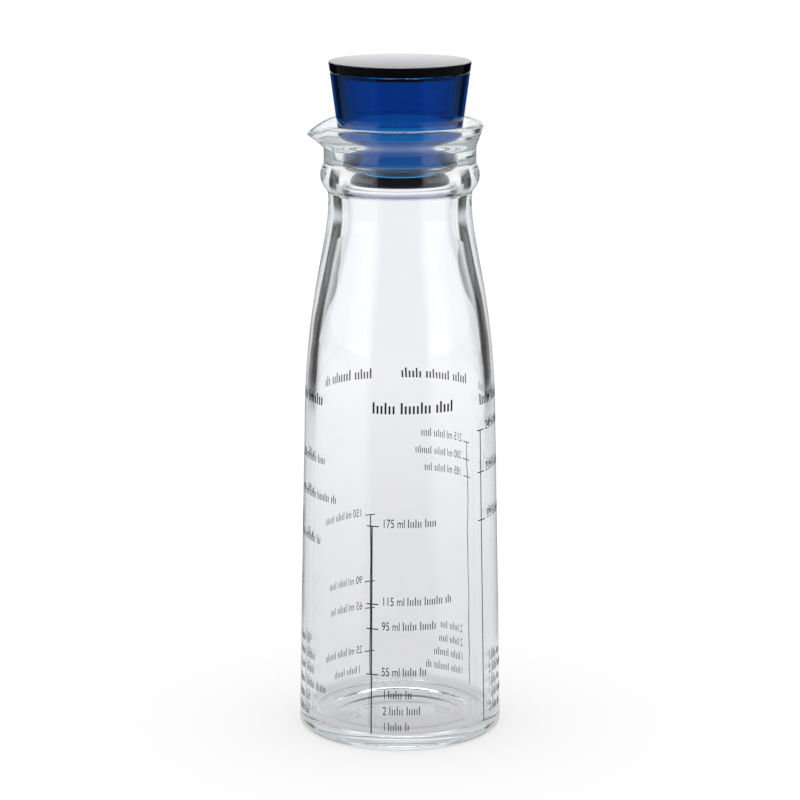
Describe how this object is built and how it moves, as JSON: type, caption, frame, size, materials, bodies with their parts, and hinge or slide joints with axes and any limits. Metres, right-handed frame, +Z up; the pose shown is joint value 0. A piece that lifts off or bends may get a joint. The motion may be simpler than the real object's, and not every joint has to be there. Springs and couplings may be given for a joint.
{
  "type": "salad dressing shaker",
  "caption": "Clear glass dressing bottle with a ringed neck, a flared mouth with a pulled pouring spout and a hollow blue tapered stopper with a lipped seal ring.",
  "frame": {"origin": "on the bottle's axis, in the plane that it stands on", "axes": "+Z up along the bottle's axis, -X towards the pouring spout"},
  "size_m": [0.065, 0.065, 0.2139],
  "materials": {
    "clear_glass": "clear soda-lime glass, fire-polished, with printed scales in black",
    "blue_acrylic": "clear deep blue acrylic, polished",
    "clear_silicone": "translucent silicone, satin"
  },
  "bodies": {
    "bottle": {"bottle": "clear_glass"},
    "stopper": {"stopper_cup": "blue_acrylic", "stopper_lid": "blue_acrylic", "seal_ring": "clear_silicone"}
  },
  "joints": [
    {"name": "stopper_lift", "type": "slide", "parent": "bottle", "child": "stopper", "axis": [0, 0, 1], "range_m": [0, 0.045]}
  ]
}
